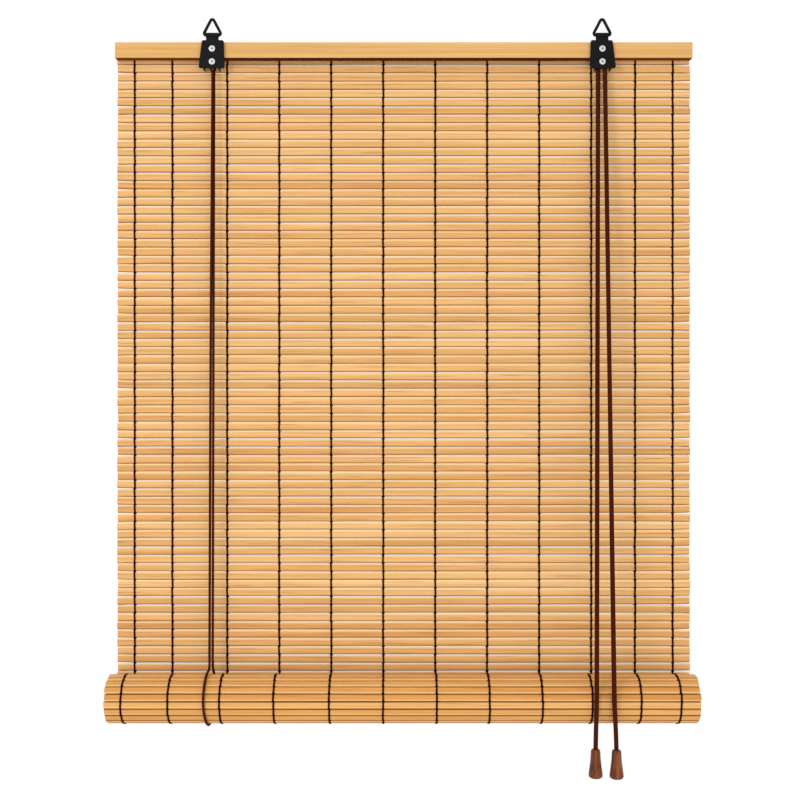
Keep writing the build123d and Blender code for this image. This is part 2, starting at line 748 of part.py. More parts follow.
# ---------------------------------------------------------------- pull cords and tassels
def make_tassel(x, y):
    """A turned wooden bell, bored from above for the cord and from below for its knot."""
    foot = tassel_top_z - tassel_length
    middle = foot + tassel_length / 2
    bulge = 1 - sqrt(0.5)
    with BuildPart() as tassel:
        with BuildSketch(Plane.XZ.offset(-y)):
            with BuildLine():
                side = Spline(
                    (x + tassel_top_radius, tassel_top_z - tassel_shoulder),
                    (x + tassel_neck_radius, middle + tassel_neck_rise),
                    (x + tassel_bottom_radius, foot + tassel_skirt),
                )
                shoulder = ThreePointArc(
                    (x + tassel_top_radius - tassel_shoulder, tassel_top_z),
                    (x + tassel_top_radius - bulge * tassel_shoulder, tassel_top_z - bulge * tassel_shoulder),
                    side @ 0,
                )
                base = ThreePointArc(
                    side @ 1,
                    (x + tassel_bottom_radius - bulge * tassel_rim, foot + bulge * tassel_skirt),
                    (x + tassel_bottom_radius - tassel_rim, foot),
                )
                Polyline(
                    base @ 1,
                    (x, foot),
                    (x, tassel_top_z),
                    shoulder @ 0,
                )
            make_face()
        revolve(axis=Axis((x, y, 0), (0, 0, 1)))
        with BuildSketch(Plane.XY.offset(tassel_top_z)):
            with Locations((x, y)):
                Circle(pull_cord / 2 + tassel_bore_clearance)
        extrude(amount=-tassel_length, mode=Mode.SUBTRACT)
        with BuildSketch(Plane.XY.offset(foot)):
            with Locations((x, y)):
                Circle(knot_radius + tassel_bore_clearance)
        extrude(amount=tassel_pocket_depth, mode=Mode.SUBTRACT)
    return tassel


left_pull_y = roll_y - roll_outer_radius - warp_proud - pull_clearance - pull_cord / 2
right_pull_y = roll_y - loop_radius - lift_cord / 2 - pull_clearance - pull_cord / 2
bend_z = roll_z + pull_bend_rise
tail_top_z = bend_z + pull_tail_rise
knot_z = tassel_top_z - tassel_length + tassel_pocket_depth - knot_radius
pulls = {
    "left": (
        right_bracket_x - cord_turn,
        rear_pulley_y + left_pull_set,
        right_bracket_x + left_pull_offset,
        left_pull_y,
        right_bracket_x + left_tassel_offset,
    ),
    "right": (
        right_cord_x,
        front_pulley_y,
        right_bracket_x + right_pull_offset,
        right_pull_y,
        right_bracket_x + right_tassel_offset,
    ),
}
for side, (top_x, top_y, bend_x, pull_y, tassel_x) in pulls.items():
    share = (leg_top_z - tail_top_z) / (leg_top_z - bend_z)
    split_x = top_x + (bend_x - top_x) * share
    split_y = top_y + (pull_y - top_y) * share
    upper = make_cord(
        [(top_x, top_y, leg_top_z), (split_x, split_y, tail_top_z + leg_end_gap)],
        [],
        pull_cord,
    )
    upper.part.label = f"{side}_pull_cord"
    export_step(upper.part, f"parts/{side}_pull_cord.step")

    lower = make_cord(
        [
            (split_x, split_y, tail_top_z),
            (bend_x, pull_y, bend_z),
            (tassel_x, pull_y, tassel_top_z + pull_cord),
            (tassel_x, pull_y, knot_z + knot_radius),
        ],
        [roll_outer_radius + pull_cord, 5 * pull_cord],
        pull_cord,
    )
    lower.part.label = f"{side}_pull_tail"
    export_step(lower.part, f"parts/{side}_pull_tail.step")

    tassel = make_tassel(tassel_x, pull_y)
    tassel.part.label = f"{side}_tassel"
    export_step(tassel.part, f"parts/{side}_tassel.step")

    with BuildPart(Location((tassel_x, pull_y, knot_z))) as knot:
        Sphere(knot_radius)
    knot.part.label = f"{side}_tassel_knot"
    export_step(knot.part, f"parts/{side}_tassel_knot.step")
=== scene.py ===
"""Bamboo roll up blind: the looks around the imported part.

Every length in the classes is in millimetres, in the part's own frame: X along the head rail,
-Y towards the room, +Z up, and the wall plane at y = 0. Meshes are made in metres.
"""

import logging
import math
import random
from dataclasses import dataclass, field
from enum import Enum
from functools import cached_property
from typing import Sequence

import bmesh
import bpy
from bmesh.types import BMEdge, BMVert, BMesh
from bpy.types import Curve, Material, Mesh, Node, NodeSocket, NodeTree, Object, Spline
from mathutils import Matrix, Vector, noise
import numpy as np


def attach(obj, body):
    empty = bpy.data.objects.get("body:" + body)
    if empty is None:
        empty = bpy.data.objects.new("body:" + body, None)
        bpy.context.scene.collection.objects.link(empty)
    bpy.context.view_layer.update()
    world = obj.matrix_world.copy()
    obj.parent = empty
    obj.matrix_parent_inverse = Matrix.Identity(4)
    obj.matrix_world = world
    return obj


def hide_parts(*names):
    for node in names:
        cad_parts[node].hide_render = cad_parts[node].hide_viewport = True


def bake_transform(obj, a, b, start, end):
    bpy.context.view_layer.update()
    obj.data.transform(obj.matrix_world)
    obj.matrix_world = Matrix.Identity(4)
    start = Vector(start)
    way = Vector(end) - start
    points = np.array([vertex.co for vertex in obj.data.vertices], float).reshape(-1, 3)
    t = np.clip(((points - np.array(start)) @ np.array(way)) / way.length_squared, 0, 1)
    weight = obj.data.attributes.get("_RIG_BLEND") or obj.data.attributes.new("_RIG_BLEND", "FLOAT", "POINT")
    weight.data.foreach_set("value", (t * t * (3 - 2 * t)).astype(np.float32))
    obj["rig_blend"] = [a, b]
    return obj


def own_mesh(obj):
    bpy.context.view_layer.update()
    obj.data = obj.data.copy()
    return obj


log = logging.getLogger("blind")
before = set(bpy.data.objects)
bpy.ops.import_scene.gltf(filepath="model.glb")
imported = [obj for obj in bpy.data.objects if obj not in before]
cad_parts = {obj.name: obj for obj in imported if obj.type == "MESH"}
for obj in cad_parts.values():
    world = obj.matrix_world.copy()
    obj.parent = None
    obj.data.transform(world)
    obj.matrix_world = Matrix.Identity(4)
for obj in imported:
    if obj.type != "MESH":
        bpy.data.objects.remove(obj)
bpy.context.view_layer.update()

MM = 0.001
MERGE = 1e-7  # points nearer than this are one point
LIFT_TRAVEL = 600.0  # how far the roll rises, millimetres
ROLL_Y = -29.2  # the roll's middle
ROLL_Z = -670.35
Point = tuple[float, float, float]


# ---- shared tools
def metres(point: Sequence[float]) -> Vector:
    """A point given in millimetres, in metres."""
    return Vector(point) * MM


def linear(colour: str) -> tuple[float, float, float, float]:
    """Turns an sRGB hex colour into the linear colour that a shader takes.

    Args:
        colour: six hex digits.

    Returns:
        Red, green, blue and an alpha of one.
    """
    shares = [int(colour[i : i + 2], 16) / 255 for i in (0, 2, 4)]
    red, green, blue = [c / 12.92 if c <= 0.04045 else ((c + 0.055) / 1.055) ** 2.4 for c in shares]
    return red, green, blue, 1.0


def add_node(
    tree: NodeTree, kind: str, links: dict | None = None, stops: Sequence = (), **settings
) -> Node:
    """Adds one node with its settings and its incoming links.

    Args:
        tree: the material's or world's nodes.
        kind: the node's type name without its ShaderNode prefix.
        links: input name or index to the output socket that feeds it, or to a plain value.
        stops: a colour ramp's positions and hex colours, in order.
        settings: the node's own properties.

    Returns:
        The new node.
    """
    made = tree.nodes.new("ShaderNode" + kind)
    for name, value in settings.items():
        setattr(made, name, value)
    for number, (position, colour) in enumerate(stops):
        ends = made.color_ramp.elements
        element = ends[number] if number < 2 else ends.new(position)
        element.position = position
        element.color = linear(colour)
    for name, value in (links or {}).items():
        if isinstance(value, NodeSocket):
            tree.links.new(value, made.inputs[name])
        else:
            made.inputs[name].default_value = value
    return made


def blotches(
    tree: NodeTree, place: NodeSocket, size: Point, detail: float = 2.0, rough: float = 0.5
) -> NodeSocket:
    """A random pattern whose blotches have a real size.

    Args:
        tree: the material's nodes.
        place: the socket of a place in metres.
        size: how long one blotch is in each direction, millimetres.
        detail: octaves of noise.
        rough: how strong the finer octaves are.

    Returns:
        The pattern's value, from 0 to 1.
    """
    mapped = add_node(tree, "Mapping", {"Vector": place, "Scale": [1 / (s * MM) for s in size]})
    sizes = {"Vector": mapped.outputs[0], "Scale": 1.0, "Detail": detail, "Roughness": rough}
    return add_node(tree, "TexNoise", sizes).outputs["Fac"]


def new_material(name: str) -> tuple[Material, NodeTree, NodeSocket]:
    """An empty material.

    Args:
        name: the finish's name.

    Returns:
        The material, its nodes, and the socket of a place on the object.
    """
    material = bpy.data.materials.new(name)
    material.use_nodes = True
    tree = material.node_tree
    tree.nodes.clear()
    return material, tree, add_node(tree, "TexCoord").outputs["Object"]


def coat(tree: NodeTree, height: NodeSocket, depth: float, inputs: dict) -> None:
    """Ends a material with its relief, its one shader and its output.

    Args:
        tree: the material's nodes.
        height: the pattern that gives the relief.
        depth: how deep the relief is, millimetres.
        inputs: the shader's other inputs.
    """
    relief = add_node(tree, "Bump", {"Height": height, "Distance": depth * MM, "Strength": 0.5})
    shader = add_node(tree, "BsdfPrincipled", {**inputs, "Normal": relief.outputs[0]})
    add_node(tree, "OutputMaterial", {"Surface": shader.outputs[0]})


def settle(bm: BMesh, name: str, finish: Material, smooth: bool = True) -> Object:
    """Turns a finished bmesh into an object in the scene.

    Args:
        bm: the shape, in metres and in place.
        name: the piece's name.
        finish: its material.
        smooth: whether its faces are shaded smooth.

    Returns:
        The piece, at the origin.
    """
    mesh = bpy.data.meshes.new(name)
    bm.to_mesh(mesh)
    bm.free()
    mesh.materials.append(finish)
    for face in mesh.polygons:
        face.use_smooth = smooth
    piece = bpy.data.objects.new(name, mesh)
    bpy.context.scene.collection.objects.link(piece)
    return piece


def stamp(bm: BMesh, template: Mesh, place: Matrix) -> list[BMVert]:
    """Adds a copy of a template at a place.

    Args:
        bm: the shape that grows.
        template: the repeated shape.
        place: where the copy goes.

    Returns:
        The copy's vertices, in the template's order.
    """
    first = len(bm.verts)
    bm.from_mesh(template)
    bm.verts.ensure_lookup_table()
    fresh = bm.verts[first:]
    bmesh.ops.transform(bm, matrix=place, verts=fresh)
    return fresh


def extend(bm: BMesh, ring: list[BMEdge]) -> tuple[list, list]:
    """Extrudes an open ring of edges, still in its place.

    Args:
        bm: the shape that grows.
        ring: the ring's edges.

    Returns:
        The new ring's vertices and its edges.
    """
    grown = bmesh.ops.extrude_edge_only(bm, edges=ring)["geom"]
    verts = [g for g in grown if isinstance(g, BMVert)]
    return verts, [g for g in grown if isinstance(g, BMEdge)]


def as_template(bm: BMesh, name: str) -> Mesh:
    """A closed shape as a mesh to stamp, its faces pointing outwards."""
    bmesh.ops.remove_doubles(bm, verts=bm.verts, dist=MERGE)
    bmesh.ops.recalc_face_normals(bm, faces=bm.faces)
    mesh = bpy.data.meshes.new(name)
    bm.to_mesh(mesh)
    bm.free()
    return mesh


def report(piece: Object, body: str, slot: str, *nodes: str) -> Object:
    """Rides a new piece on its body, hides the nodes it stands for, and logs it with their names."""
    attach(piece, body)
    if nodes:
        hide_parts(*nodes)
    log.info("%s rides on %s and stands for %s", piece.name, body, ", ".join(nodes) or "nothing")
    return piece


# ---- finishes
@dataclass(frozen=True)
class SlatBamboo:
    """Split moso bamboo, steamed, planed and lightly lacquered.

    The long fibres show as fine streaks along each slat, the tone steps from slat to slat,
    the lower edge has painted shade and the top edge a painted highlight, and the lacquer leaves a soft satin
    gloss.
    """

    name: str
    pale: str
    body: str
    deep: str
    # painted shade along each slat's lower edge
    edge: str
    # painted highlight along each slat's top edge
    painted_highlight: str
    joint: str = "9A6430"
    streaks: tuple = ((0.3, "B98248"), (0.48, "FFFFFF"), (0.75, "FFF4DE"))
    fibre: Point = (70.0, 0.8, 0.8)  # one streak of fibres: long, and under a millimetre high
    cloud: Point = (210.0, 4.5, 4.5)
    joint_cell: Point = (330.0, 11.0, 0.0)  # about one joint in each piece of grain this large
    joint_span: Point = (0.05, 0.02, 0.5)  # where its tint starts and is full, in cells, and its most
    shade_span: Point = (-0.6, -0.95, 0.95)  # where the painted shade on the lower edge starts and is full, and its most, up the slat's half height
    highlight_span: Point = (0.45, 0.95, 0.8)  # the same for the painted highlight on the top edge
    roughness: float = 0.5

    def make(self) -> Material:
        """Builds the material from the slats' own attributes."""
        material, tree, _ = new_material(self.name)
        place = add_node(tree, "Attribute", attribute_name="grain_place").outputs["Vector"]
        tone = add_node(tree, "Attribute", attribute_name="tone").outputs["Fac"]
        rise = add_node(tree, "Attribute", attribute_name="rise").outputs["Fac"]
        fibres = blotches(tree, place, self.fibre, 3.0, 0.6)
        clouds = blotches(tree, place, self.cloud)
        shade = add_node(tree, "Mix", {0: 0.5, 2: clouds, 3: tone}).outputs[0]
        tones = [(0.28, self.deep), (0.5, self.body), (0.72, self.pale)]
        colour = add_node(tree, "ValToRGB", {"Fac": shade}, tones).outputs[0]
        streak = add_node(tree, "ValToRGB", {"Fac": fibres}, self.streaks).outputs[0]
        both = {0: 0.5, 6: colour, 7: streak}
        colour = add_node(tree, "Mix", both, data_type="RGBA", blend_type="MULTIPLY").outputs[2]
        # after the joints: painted shade along the lower edge, then a painted highlight along the top edge
        marks = (
            (self.joint_distance(tree, place), self.joint_span, self.joint),
            (rise, self.shade_span, self.edge),
            (rise, self.highlight_span, self.painted_highlight),
        )
        for source, (start, end, most), tint in marks:
            span = {"Value": source, "From Min": start, "From Max": end, "To Min": 0.0, "To Max": most}
            share = add_node(tree, "MapRange", span).outputs[0]
            tinted = {0: share, 6: colour, 7: linear(tint)}
            colour = add_node(tree, "Mix", tinted, data_type="RGBA").outputs[2]
        inputs = {"Base Color": colour, "Roughness": self.roughness, "Specular IOR Level": 0.22}
        coat(tree, fibres, 0.12, inputs)
        return material

    def joint_distance(self, tree: NodeTree, place: NodeSocket) -> NodeSocket:
        """How far a place is from the nearest of the culm's joints, in cells of the grain.

        Args:
            tree: the material's nodes.
            place: where on the culm the grain is, in metres.

        Returns:
            The distance's socket.
        """
        scale = [1 / (size * MM) if size else 0.0 for size in self.joint_cell]
        mapped = add_node(tree, "Mapping", {"Vector": place, "Scale": scale})
        flat = {"Vector": mapped.outputs[0], "Scale": 1.0}
        return add_node(tree, "TexVoronoi", flat, voronoi_dimensions="2D").outputs["Distance"]


@dataclass(frozen=True)
class PlanedWood:
    """Planed and lacquered wood, its grain along one direction.

    The growth rings show as long streaks, and the lacquer as an even satin gloss.
    """

    name: str
    pale: str
    body: str
    deep: str
    streak: Point  # length of one grain streak in X, Y and Z
    roughness: float = 0.45
    lacquer: float = 0.0
    specular: float = 0.22
    relief: float = 0.08

    def make(self) -> Material:
        """Builds the material on object coordinates."""
        material, tree, place = new_material(self.name)
        grain = blotches(tree, place, self.streak, 4.0, 0.62)
        broad = blotches(tree, place, tuple(3.1 * s for s in self.streak))
        both = add_node(tree, "Mix", {0: 0.45, 2: grain, 3: broad}).outputs[0]
        stops = [(0.32, self.deep), (0.5, self.body), (0.68, self.pale)]
        inputs = {
            "Base Color": add_node(tree, "ValToRGB", {"Fac": both}, stops).outputs[0],
            "Roughness": self.roughness,
            "Specular IOR Level": self.specular,
            "Coat Weight": self.lacquer,
            "Coat Roughness": 0.12,
        }
        coat(tree, grain, self.relief, inputs)
        return material


@dataclass(frozen=True)
class SpunCotton:
    """Spun cotton, dyed brown: matt, with a fine twist."""

    name: str
    dark: str
    light: str
    twist: Point = (0.5, 0.5, 0.35)

    def make(self) -> Material:
        """Builds the material on object coordinates."""
        material, tree, place = new_material(self.name)
        twist = blotches(tree, place, self.twist)
        stops = [(0.4, self.dark), (0.7, self.light)]
        colour = add_node(tree, "ValToRGB", {"Fac": twist}, stops).outputs[0]
        coat(tree, twist, 0.1, {"Base Color": colour, "Roughness": 0.9, "Specular IOR Level": 0.04})
        return material


@dataclass(frozen=True)
class BraidedCord:
    """Braided polyester cord, with a painted highlight on the braid's crowns and painted shade in its
    crossings.
    """

    name: str
    # painted shade in the braid's hollows
    hollow_shade: str
    strand: str
    # painted highlight on the braid's crowns
    painted_highlight: str
    fuzz: Point = (0.6, 0.6, 0.9)

    def make(self) -> Material:
        """Builds the material from the cord's own braid attribute."""
        material, tree, place = new_material(self.name)
        braid = add_node(tree, "Attribute", attribute_name="braid").outputs["Fac"]
        fuzz = blotches(tree, place, self.fuzz)
        height = add_node(tree, "Mix", {0: 0.25, 2: braid, 3: fuzz}).outputs[0]
        # the braid's height sets painted shade in the hollows and a painted highlight on the crowns
        stops = [(0.15, self.hollow_shade), (0.5, self.strand), (0.78, self.strand), (0.95, self.painted_highlight)]
        colour = add_node(tree, "ValToRGB", {"Fac": height}, stops).outputs[0]
        coat(tree, fuzz, 0.08, {"Base Color": colour, "Roughness": 0.75, "Specular IOR Level": 0.06})
        return material


@dataclass(frozen=True)
class CoatedSteel:
    """Pressed steel with a black electrophoretic coat: satin, with a fine orange peel."""

    dark: str = "080606"
    light: str = "120D0C"
    cloud: Point = (6.0, 6.0, 6.0)
    peel: Point = (0.5, 0.5, 0.5)

    def make(self) -> Material:
        """Builds the material on object coordinates."""
        material, tree, place = new_material("black_coated_steel")
        cloud = blotches(tree, place, self.cloud, 3.0)
        peel = blotches(tree, place, self.peel)
        stops = [(0.35, self.dark), (0.7, self.light)]
        gloss = {"Value": cloud, "To Min": 0.36, "To Max": 0.5}
        inputs = {
            "Base Color": add_node(tree, "ValToRGB", {"Fac": cloud}, stops).outputs[0],
            "Roughness": add_node(tree, "MapRange", gloss).outputs[0],
            "Specular IOR Level": 0.12,
        }
        coat(tree, peel, 0.03, inputs)
        return material


@dataclass(frozen=True)
class PlatedSteel:
    """Bright zinc plated steel: a clear gloss with faint turning marks, with painted shade in the punched
    dimples.
    """

    dark: str = "A8A9AA"
    light: str = "E4E3E2"
    # painted shade in the punched dimples
    dimple_shade: str = "77726F"
    marks: Point = (1.2, 1.2, 0.35)
    dimples: tuple = ((-199.0, 0.4), (-199.0, -13.0), (206.2, 0.4), (206.2, -13.0))
    dimple_radius: float = 1.1
    dimple_floor: float = 0.8  # of that radius

    def make(self) -> Material:
        """Builds the material on object coordinates."""
        material, tree, place = new_material("zinc_plated_steel")
        marks = blotches(tree, place, self.marks, 3.0)
        stops = [(0.3, self.dark), (0.6, self.light)]
        colour = add_node(tree, "ValToRGB", {"Fac": marks}, stops).outputs[0]
        face = {0: place, 1: (1.0, 0.0, 1.0)}
        flat = add_node(tree, "VectorMath", face, operation="MULTIPLY").outputs[0]
        rim = self.dimple_radius * MM
        # each dimple is darkened towards its middle with painted shade
        for x, z in self.dimples:
            ends = {0: flat, 1: metres((x, 0, z))}
            off = add_node(tree, "VectorMath", ends, operation="DISTANCE").outputs["Value"]
            reach = {"Value": off, "From Min": rim, "From Max": self.dimple_floor * rim}
            share = add_node(tree, "MapRange", reach).outputs[0]
            dimple_shaded = {0: share, 6: colour, 7: linear(self.dimple_shade)}
            colour = add_node(tree, "Mix", dimple_shaded, data_type="RGBA").outputs[2]
        gloss = {"Value": marks, "To Min": 0.22, "To Max": 0.4}
        inputs = {
            "Base Color": colour,
            "Metallic": 1.0,
            "Roughness": add_node(tree, "MapRange", gloss).outputs[0],
        }
        coat(tree, marks, 0.02, inputs)
        return material


@dataclass(frozen=True)
class MouldedNylon:
    """Injection moulded natural nylon: off-white, waxy, slightly translucent."""

    dark: str = "CFCABC"
    light: str = "E4E0D4"
    cloud: Point = (2.5, 2.5, 2.5)

    def make(self) -> Material:
        """Builds the material on object coordinates."""
        material, tree, place = new_material("natural_nylon")
        cloud = blotches(tree, place, self.cloud)
        stops = [(0.3, self.dark), (0.7, self.light)]
        inputs = {
            "Base Color": add_node(tree, "ValToRGB", {"Fac": cloud}, stops).outputs[0],
            "Roughness": 0.4,
            "Subsurface Weight": 0.1,
            "Subsurface Radius": (0.002, 0.002, 0.0015),
        }
        coat(tree, cloud, 0.02, inputs)
        return material


class Finish(Enum):
    """The blind's finishes."""

    # in each slat finish the fifth colour is painted shade on the lower edge and the sixth a painted
    # highlight on the top edge
    SLAT = SlatBamboo("steamed_bamboo_face", "E9BC80", "DAA564", "C68C4C", "7C4412", "FBDFAE")
    SLAT_BACK = SlatBamboo("steamed_bamboo_back", "E3AC64", "D89A52", "C68640", "5E2E08", "F0C684")
    RAIL = PlanedWood("planed_rail_wood", "E0B474", "D5A562", "C69152", (150.0, 3.0, 1.5))
    BATTEN = PlanedWood("sawn_batten_wood", "E0B478", "D2A060", "B88448", (120.0, 3.0, 2.2), 0.6)
    ROD = PlanedWood("turned_rod_wood", "DDAE70", "CC9655", "AD773C", (160.0, 2.0, 2.0), 0.5)
    WALNUT = PlanedWood(
        "lacquered_walnut", "985018", "6C3408", "321402", (2.6, 2.6, 14.0), 0.4, 0.35, 0.12, 0.1
    )
    THREAD = SpunCotton("waxed_cotton_thread", "1A0501", "341204")
    # a dark strip under the head rail: painted shade standing in for the rail's shaded underside
    SHADE_TAPE = SpunCotton("painted_shade_tape", "5E2A08", "84461A", (0.6, 0.6, 0.6))
    # in each cord finish the first colour is painted shade in the braid's hollows and the last a painted
    # highlight on its crowns
    LIFT = BraidedCord("braided_lift_cord", "1E0502", "401204", "6A3218")
    PULL = BraidedCord("braided_pull_cord", "1E0502", "401204", "7A3C20")
    BLACK = CoatedSteel()
    ZINC = PlatedSteel()
    NYLON = MouldedNylon()

    @cached_property
    def material(self) -> Material:
        """The finish's material, made once."""
        return self.value.make()


# ---- slats
@dataclass
class Slat:
    """One bamboo slat: long, flat, slightly domed, with rounded ends."""

    length: float = 600.0
    thickness: float = 2.0
    height: float = 7.65
    points: int = 14  # points round its section
    squareness: float = 0.58  # 1 is an ellipse and 0 a rectangle
    stations: tuple = (0.0, 0.3, 1.0, 10.0, 18.0, 60.0, 130.0, 215.0, 300.0)
    end_shares: tuple = (0.8, 0.96, 1.0)  # of the thickness, at the rounded ends
    end_drop: float = 3.0  # the thickness narrows this much more than the height there
    fan_reach: float = 20.0  # the last of each end, which leans up or down
    fan_power: float = 1.6
    bow: float = 0.1  # how far a slat's line wanders
    bow_span: float = 95.0
    bow_phase: float = 1.7  # from one slat's bow to the next one's
    grain_step: tuple = (370.0, 23.0)  # from one slat's piece of grain to the next one's

    def tall(self, share: float) -> float:
        """A section's height beside the middle's, where its thickness has a given share."""
        return 1 - (1 - share) / self.end_drop

    def template(self) -> Mesh:
        """The slat at the origin, in millimetres, for stamping."""
        bm = bmesh.new()
        made = bmesh.ops.create_circle(bm, cap_ends=False, radius=1.0, segments=self.points)
        for vert in made["verts"]:
            across, along = vert.co.x, vert.co.y
            vert.co = (
                -self.length / 2,
                math.copysign(abs(across) ** self.squareness, across) * self.thickness / 2,
                math.copysign(abs(along) ** self.squareness, along) * self.height / 2,
            )
        half = [(-self.length / 2 + s, self.end_shares[min(n, 2)]) for n, s in enumerate(self.stations)]
        whole = half + [(-x, share) for x, share in reversed(half[:-1])]
        ring = list(bm.edges)
        bmesh.ops.contextual_create(bm, geom=ring)
        bmesh.ops.scale(bm, vec=(1, whole[0][1], self.tall(whole[0][1])), verts=bm.verts)
        for (x, share), (next_x, next_share) in zip(whole, whole[1:]):
            verts, ring = extend(bm, ring)
            taller = self.tall(next_share) / self.tall(share)
            bmesh.ops.translate(bm, vec=(next_x - x, 0, 0), verts=verts)
            bmesh.ops.scale(bm, vec=(1, next_share / share, taller), verts=verts)
        bmesh.ops.contextual_create(bm, geom=ring)
        return as_template(bm, "slat")


@dataclass
class SlatLook:
    """How one slat differs from the next."""

    tone: float
    shift: float
    tilt: float
    tall: float
    lean: float
    fan: tuple[float, float]

    @staticmethod
    def draw(dice: random.Random, loose: float) -> "SlatLook":
        """Draws a slat's differences.

        Args:
            dice: the seeded source.
            loose: how far the slat may sit from true, 1 in the hanging field.

        Returns:
            The slat's differences.
        """
        return SlatLook(
            tone=min(1.0, max(0.0, dice.gauss(0.5, 0.13))),
            shift=dice.uniform(-0.5, 0.5),
            tilt=dice.uniform(-2.5, 2.5) * loose,
            tall=dice.uniform(1.085, 1.115),
            lean=dice.uniform(-0.08, 0.08) * loose,
            fan=(dice.uniform(-0.55, 0.55) * loose, dice.uniform(-0.55, 0.55) * loose),
        )


class SlatStack:
    """Slats stamped at their places into one mesh, with the attributes that their finish reads."""

    def __init__(self, slat: Slat) -> None:
        """Starts an empty stack.

        Args:
            slat: the slat that is repeated.
        """
        self.slat = slat
        self.template = slat.template()
        self.bm = bmesh.new()
        self.place = self.bm.verts.layers.float_vector.new("grain_place")
        self.tone = self.bm.verts.layers.float.new("tone")
        self.rise = self.bm.verts.layers.float.new("rise")

    def add(self, at: Matrix, look: SlatLook, number: int) -> None:
        """Adds one slat.

        Args:
            at: the slat's frame in metres, X along it and Z up the sheet.
            look: its differences.
            number: its place in the stack, which sets its own piece of grain.
        """
        slat = self.slat
        turned = Matrix.Rotation(math.radians(look.tilt), 4, "X") @ Matrix.Diagonal((1, 1, look.tall, 1))
        shifted = Matrix.Translation((look.shift, 0, look.lean))
        fresh = stamp(self.bm, self.template, at @ Matrix.Diagonal((MM, MM, MM, 1)) @ shifted @ turned)
        up = at.to_3x3() @ Vector((0, 0, MM))
        start = slat.length / 2 - slat.fan_reach
        grain_x, grain_z = (number * step for step in slat.grain_step)
        for source, vert in zip(self.template.vertices, fresh):
            x, depth, across = source.co
            reach = max(0.0, abs(x) - start) / slat.fan_reach
            fan = look.fan[x > 0] * reach**slat.fan_power
            vert.co += up * (fan + slat.bow * math.sin(x / slat.bow_span + number * slat.bow_phase))
            vert[self.place] = metres((x + grain_x, across + grain_z, depth))
            vert[self.tone] = look.tone
            vert[self.rise] = across / (slat.height / 2)

    def finish(self, name: str, material: Material) -> Object:
        """The stack as one piece."""
        log.info("%s has %d points", name, len(self.bm.verts))
        return settle(self.bm, name, material)


@dataclass
class Thread:
    """Warp threads: two strands twined round every slat and crossed in every gap."""

    width: float = 2.2
    proud: float = 0.6  # how far a strand's outside stands off a slat's face
    knot_width: float = 3.6
    knot_height: float = 3.0
    sway: float = 0.28  # a strand starts this far to one side, and ends on the other
    course: tuple = (  # a strand's way down: of the pitch, of the sway, and how deep
        (0.5, -1.0, 0.35), (0.32, -0.4, 0.0), (0.0, 0.0, -0.06), (-0.32, 0.4, 0.0), (-0.5, 1.0, 0.35),
    )
    fullness: float = 1.3  # a strand's depth beside how far it stands off
    seat: float = 0.35  # its middle, of how far it stands off
    knot_proud: float = 1.4  # the knot's outside, in the same way
    knot_turn: float = 18.0  # degrees
    wander: float = 0.22  # of a knot from the thread's line
    crossed: float = 0.15  # share of the cells that are twined the other way

    def strand(self, bm: BMesh, face: float, pitch: float, side: int) -> None:
        """Adds the strand over one face of a slat.

        Args:
            bm: the cell that grows, millimetres.
            face: half the slat's thickness, on the side that the strand lies.
            pitch: from one slat to the next.
            side: -1 in front of the slat and 1 behind it.
        """
        made = bmesh.ops.create_circle(bm, cap_ends=False, radius=self.width / 2, segments=6)
        verts = made["verts"]
        bmesh.ops.scale(bm, vec=(1, self.proud / self.width * self.fullness, 1), verts=verts)
        rows = [(pitch * down, self.sway * across, sink) for down, across, sink in self.course]
        middle = face + self.proud * self.seat
        ring = list({edge for vert in verts for edge in vert.link_edges})
        bmesh.ops.translate(bm, vec=(rows[0][1], side * (middle - rows[0][2]), rows[0][0]), verts=verts)
        for (z, x, sink), (next_z, next_x, next_sink) in zip(rows, rows[1:]):
            verts, ring = extend(bm, ring)
            bmesh.ops.translate(bm, vec=(next_x - x, side * (sink - next_sink), next_z - z), verts=verts)

    def template(self, face: float, pitch: float, both: bool) -> Mesh:
        """One cell of thread round one slat, with the crossing above it, millimetres.

        Args:
            face: half the slat's thickness.
            pitch: from one slat to the next.
            both: whether there is a strand in front as well as behind.

        Returns:
            The cell, for stamping.
        """
        bm = bmesh.new()
        self.strand(bm, face, pitch, 1)
        if both:
            self.strand(bm, face, pitch, -1)
        loops = [edge for edge in bm.edges if edge.is_boundary]
        bmesh.ops.holes_fill(bm, edges=loops, sides=6)
        knot = bmesh.ops.create_uvsphere(bm, u_segments=8, v_segments=5, radius=1.0)["verts"]
        deep = face + self.proud * self.knot_proud
        bmesh.ops.scale(bm, vec=(self.knot_width / 2, deep, self.knot_height / 2), verts=knot)
        bmesh.ops.rotate(bm, matrix=Matrix.Rotation(math.radians(self.knot_turn), 3, "Y"), verts=knot)
        bmesh.ops.translate(bm, vec=(0, 0, pitch / 2), verts=knot)
        return as_template(bm, "thread_cell")


